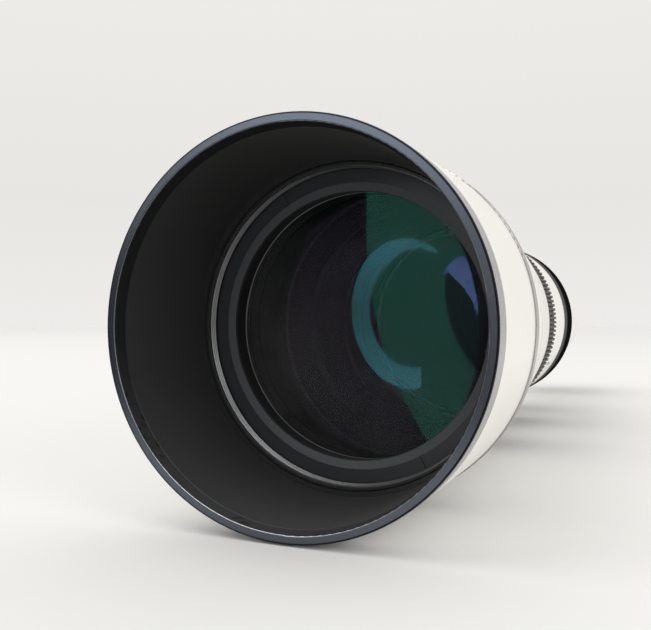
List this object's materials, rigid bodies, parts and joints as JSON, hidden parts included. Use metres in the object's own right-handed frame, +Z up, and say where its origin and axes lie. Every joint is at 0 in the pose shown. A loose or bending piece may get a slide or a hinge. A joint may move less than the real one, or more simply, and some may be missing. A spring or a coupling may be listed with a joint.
{
  "type": "telephoto zoom lens",
  "caption": "Long white telephoto zoom lens with a sliding hood, ribbed focusing and zoom rings, a turning tripod collar with foot, and a screw mount at the back.",
  "frame": {"origin": "centre of the rear mounting flange face, on the optical axis", "axes": "+Y along the optical axis to the rear, out of the mount; the front of the lens faces -Y; +Z up, with the tripod foot below"},
  "size_m": [0.1106, 0.465, 0.1062],
  "materials": {
    "white_paint": "satin white enamel",
    "dark_anodised": "satin blue-black anodising",
    "black_anodised": "matt black anodising",
    "rubber": "ribbed grip rubber",
    "flock": "flocked black",
    "felt": "felt strip",
    "coated_glass": "green multi-coated",
    "clear_glass": "coated optical glass",
    "black_plastic": "fine grained",
    "brass": "turned",
    "steel": "blackened or plain screw steel",
    "chrome_mount": "satin chrome",
    "black_ink": "printed"
  },
  "bodies": {
    "body": {"main_tube": "black_anodised", "focus_retaining_ring": "black_anodised", "index_ring": "white_paint", "index_marks": "black_ink", "middle_cover": "white_paint", "zoom_tube": "black_anodised", "rear_barrel": "white_paint", "rear_cap": "black_anodised", "mount_ring": "chrome_mount", "mount_screws": "steel", "rear_lens_cell": "black_anodised", "rear_group_front_element": "clear_glass", "rear_group_back_element": "clear_glass", "rear_retaining_ring": "black_anodised"},
    "front_group": {"filter_ring": "black_anodised", "front_retaining_ring": "black_anodised", "objective_cell": "black_anodised", "front_element": "coated_glass", "element_spacer": "black_anodised", "second_element": "coated_glass", "front_barrel": "white_paint", "forward_light_stop": "black_anodised", "rear_light_stop": "black_anodised", "helicoid_tube": "black_anodised", "helicoid_screws": "steel", "guide_keys": "brass"},
    "hood": {"hood_tube": "white_paint", "hood_front_ring": "dark_anodised", "hood_rear_ring": "dark_anodised", "hood_lining": "flock", "hood_guide_ring": "black_anodised", "hood_felt": "felt"},
    "focus_ring": {"focus_sleeve": "white_paint", "focus_grip": "rubber", "focus_scale": "black_ink"},
    "collar": {"tripod_collar": "dark_anodised", "collar_foot": "dark_anodised", "foot_screws": "steel"},
    "shoe": {"lock_shoe": "brass"},
    "knob": {"lock_stud": "steel", "lock_knob": "black_plastic"},
    "zoom_ring": {"zoom_sleeve": "white_paint", "zoom_grip": "rubber", "zoom_scale": "black_ink", "cam_tube": "black_anodised", "cam_screws": "steel"},
    "variator": {"variator_cell": "black_anodised", "variator_followers": "brass", "variator_front_element": "clear_glass", "variator_back_element": "clear_glass"},
    "compensator": {"compensator_cell": "black_anodised", "compensator_followers": "brass", "compensator_front_element": "clear_glass", "compensator_back_element": "clear_glass"}
  },
  "joints": [
    {"name": "front_extend", "type": "slide", "parent": "body", "child": "front_group", "axis": [0, -1, 0], "range_m": [0, 0.03]},
    {"name": "hood_slide", "type": "slide", "parent": "front_group", "child": "hood", "axis": [0, 1, 0], "range_m": [0, 0.0415]},
    {"name": "focus_turn", "type": "hinge", "parent": "body", "child": "focus_ring", "pos_m": [0, -0.27, 0], "axis": [0, 1, 0], "range_deg": [0, 240]},
    {"name": "collar_turn", "type": "hinge", "parent": "body", "child": "collar", "pos_m": [0, -0.2085, 0], "axis": [0, 1, 0], "continuous": true},
    {"name": "shoe_slide", "type": "slide", "parent": "collar", "child": "shoe", "axis": [-1, 0, 0], "range_m": [0, 0.001]},
    {"name": "knob_turn", "type": "hinge", "parent": "shoe", "child": "knob", "pos_m": [-0.0475, -0.2085, 0], "axis": [-1, 0, 0], "range_deg": [0, 360]},
    {"name": "zoom_turn", "type": "hinge", "parent": "body", "child": "zoom_ring", "pos_m": [0, -0.139, 0], "axis": [0, 1, 0], "range_deg": [0, 100]},
    {"name": "variator_slide", "type": "slide", "parent": "body", "child": "variator", "axis": [0, 1, 0], "range_m": [0, 0.022]},
    {"name": "compensator_slide", "type": "slide", "parent": "body", "child": "compensator", "axis": [0, -1, 0], "range_m": [0, 0.011]}
  ],
  "couplings": [
    {"joint": "front_extend", "follows": "focus_turn", "m_per_rad": 0.00716},
    {"joint": "shoe_slide", "follows": "knob_turn", "m_per_rad": 0.000159},
    {"joint": "variator_slide", "follows": "zoom_turn", "m_per_rad": 0.012605},
    {"joint": "compensator_slide", "follows": "zoom_turn", "m_per_rad": 0.0063025}
  ]
}
